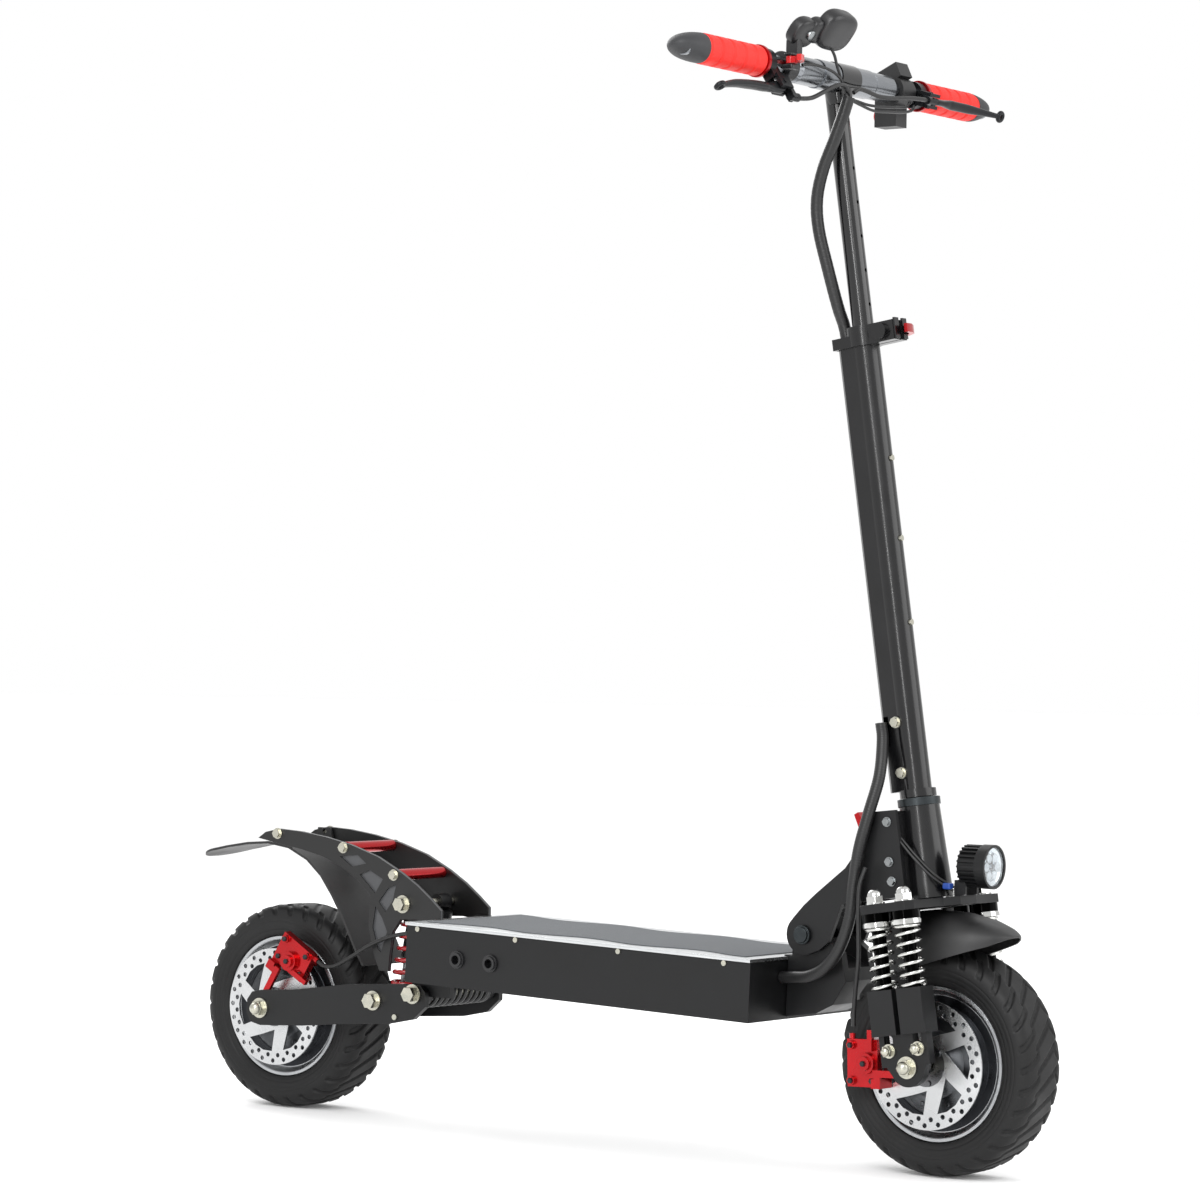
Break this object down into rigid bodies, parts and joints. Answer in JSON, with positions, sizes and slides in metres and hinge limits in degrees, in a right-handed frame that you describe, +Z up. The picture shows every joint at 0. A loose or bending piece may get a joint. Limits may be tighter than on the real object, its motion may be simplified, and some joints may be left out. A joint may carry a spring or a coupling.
{
  "type": "electric kick scooter",
  "caption": "Folding electric kick scooter with sprung twin-shock fork, swingarm, two hub-motor disc-brake wheels and a telescopic handlebar.",
  "frame": {"origin": "on the ground, at the middle of the overall length and width", "axes": "+X forwards, +Y to the rider's left, +Z up"},
  "size_m": [1.2341, 0.6598, 1.3233],
  "materials": {
    "black_coat": "satin black powder coat",
    "black_gloss": "gloss black anodised tube",
    "raw_alloy": "bare extruded alloy",
    "grip_tape": "grey abrasive tape",
    "cell_wrap": "blue shrink wrap",
    "control_case": "cast alloy case",
    "port_plastic": "moulded black",
    "pin_steel": "dark passivated steel",
    "red_alloy": "red anodised",
    "zinc": "yellow and clear zinc",
    "fender_plastic": "moulded black",
    "steel_bolt": "bright steel",
    "chrome_rod": "chrome",
    "spring_steel": "plated spring wire",
    "lamp_body": "black finned alloy",
    "lamp_glass": "clear lens",
    "tyre_rubber": "black tyre rubber",
    "rim_alloy": "polished alloy",
    "rotor_steel": "ground stainless steel",
    "bar_alloy": "gunmetal anodised",
    "grip_rubber": "orange red rubber",
    "lever_alloy": "black anodised lever",
    "unit_plastic": "moulded black",
    "key_metal": "bright key",
    "red_plastic": "red button",
    "cable_jacket": "black cable sleeve",
    "red_spring": "red coated spring"
  },
  "bodies": {
    "deck": {"deck_shell": "black_coat", "deck_plate": "raw_alloy", "grip_tape": "grip_tape", "battery_pack": "cell_wrap", "controllers": "control_case", "charge_ports": "port_plastic", "deck_neck": "black_coat", "fold_pin": "pin_steel", "tail_plates": "black_coat", "tail_spacers": "red_alloy", "frame_bolts": "zinc", "rear_fender": "fender_plastic", "rear_cable": "cable_jacket"},
    "kickstand": {"kickstand": "black_coat"},
    "front_end": {"head_tube": "black_coat", "fold_plates": "black_coat", "headset": "pin_steel", "bracket_bolts": "steel_bolt", "stem_hose": "cable_jacket"},
    "fold_latch": {"fold_latch": "red_alloy"},
    "steering": {"fork_crown": "black_coat", "lower_stem": "black_coat", "clamp_collar": "black_coat", "stem_bolts": "zinc", "shock_rods": "chrome_rod", "fork_springs": "spring_steel", "front_fender": "fender_plastic", "headlight": "lamp_body", "headlight_lens": "lamp_glass", "front_cable": "cable_jacket"},
    "qr_lever": {"qr_lever": "red_alloy"},
    "front_legs": {"fork_legs": "black_coat", "front_axle": "zinc", "front_caliper": "red_alloy"},
    "front_wheel": {"front_tyre": "tyre_rubber", "front_motor": "rim_alloy", "front_rotor": "rotor_steel"},
    "cockpit": {"upper_stem": "black_gloss", "handlebar": "bar_alloy", "bar_collars": "bar_alloy", "grips": "grip_rubber", "lever_perches": "lever_alloy", "display_unit": "unit_plastic", "switch_unit": "unit_plastic", "bar_hose": "cable_jacket", "bar_cables": "cable_jacket"},
    "right_lever": {"brake_lever_right": "lever_alloy"},
    "left_lever": {"brake_lever_left": "lever_alloy"},
    "throttle": {"throttle_lever": "unit_plastic"},
    "display_key": {"display_button": "key_metal"},
    "horn_key": {"horn_button": "red_plastic"},
    "swingarm": {"swingarm": "black_coat", "rear_axle": "zinc", "rear_caliper": "red_alloy"},
    "rear_wheel": {"rear_tyre": "tyre_rubber", "rear_motor": "rim_alloy", "rear_rotor": "rotor_steel"},
    "shock_outer": {"shock_body": "black_coat", "rear_springs": "red_spring"},
    "shock_inner": {"shock_rod": "chrome_rod"}
  },
  "joints": [
    {"name": "stem_fold", "type": "hinge", "parent": "deck", "child": "front_end", "pos_m": [0.316, 0, 0.263], "axis": [0, -1, 0], "range_deg": [0, 80], "deforming": ["stem_hose"]},
    {"name": "latch_pull", "type": "hinge", "parent": "front_end", "child": "fold_latch", "pos_m": [0.39, 0, 0.372], "axis": [0, -1, 0], "range_deg": [0, 25], "stiffness_Nm_per_rad": 2, "springref_deg": -17.19},
    {"name": "steer", "type": "hinge", "parent": "front_end", "child": "steering", "pos_m": [0.489, 0, 0.1275], "axis": [-0.1582, 0, 0.9874], "range_deg": [-38, 38], "deforming": ["stem_hose"]},
    {"name": "fork_travel", "type": "slide", "parent": "steering", "child": "front_legs", "axis": [-0.1582, 0, 0.9874], "range_m": [0, 0.022], "stiffness_N_per_m": 15000, "springref_m": -0.022, "deforming": ["fork_springs", "front_cable"]},
    {"name": "front_spin", "type": "hinge", "parent": "front_legs", "child": "front_wheel", "pos_m": [0.489, 0, 0.1275], "axis": [0, 1, 0], "continuous": true},
    {"name": "bar_height", "type": "slide", "parent": "steering", "child": "cockpit", "axis": [-0.1582, 0, 0.9874], "range_m": [-0.2, 0.03], "deforming": ["bar_hose"]},
    {"name": "clamp_release", "type": "hinge", "parent": "steering", "child": "qr_lever", "pos_m": [0.38771, 0.0215, 0.95591], "axis": [-0.1582, 0, 0.9874], "range_deg": [0, 120]},
    {"name": "right_brake", "type": "hinge", "parent": "cockpit", "child": "right_lever", "pos_m": [0.33313, -0.15, 1.22503], "axis": [-0.848, 0, -0.5299], "range_deg": [0, 10], "stiffness_Nm_per_rad": 3, "springref_deg": -8.59},
    {"name": "left_brake", "type": "hinge", "parent": "cockpit", "child": "left_lever", "pos_m": [0.34592, 0.15, 1.2417], "axis": [0.2924, 0, 0.9563], "range_deg": [0, 10], "stiffness_Nm_per_rad": 3, "springref_deg": -8.59},
    {"name": "throttle_pull", "type": "hinge", "parent": "cockpit", "child": "throttle", "pos_m": [0.33523, -0.13, 1.25547], "axis": [0, 0, -1], "range_deg": [0, 20], "stiffness_Nm_per_rad": 0.2, "springref_deg": -17.19},
    {"name": "display_press", "type": "slide", "parent": "cockpit", "child": "display_key", "axis": [0.788, 0, -0.6157], "range_m": [0, 0.0015], "stiffness_N_per_m": 800, "springref_m": -0.002},
    {"name": "horn_press", "type": "slide", "parent": "cockpit", "child": "horn_key", "axis": [1, 0, 0], "range_m": [0, 0.0025], "stiffness_N_per_m": 800, "springref_m": -0.002},
    {"name": "stand_swing", "type": "hinge", "parent": "deck", "child": "kickstand", "pos_m": [0.1, 0.096, 0.156], "axis": [0, -1, 0], "range_deg": [0, 98]},
    {"name": "arm_travel", "type": "hinge", "parent": "deck", "child": "swingarm", "pos_m": [-0.224, 0, 0.161], "axis": [0, 1, 0], "range_deg": [0, 8], "stiffness_Nm_per_rad": 900, "springref_deg": -6.88, "deforming": ["rear_cable"]},
    {"name": "rear_spin", "type": "hinge", "parent": "swingarm", "child": "rear_wheel", "pos_m": [-0.468, 0, 0.1275], "axis": [0, 1, 0], "continuous": true},
    {"name": "shock_swivel", "type": "hinge", "parent": "deck", "child": "shock_outer", "pos_m": [-0.264, 0, 0.267], "axis": [0, 1, 0], "range_deg": [0, 1.5]},
    {"name": "shock_travel", "type": "slide", "parent": "shock_outer", "child": "shock_inner", "axis": [0.1833, 0, 0.9831], "range_m": [0, 0.009], "deforming": ["rear_springs"]}
  ],
  "couplings": [
    {"joint": "shock_swivel", "follows": "arm_travel", "ratio": 0.17},
    {"joint": "shock_travel", "follows": "arm_travel", "m_per_rad": 0.0599}
  ]
}
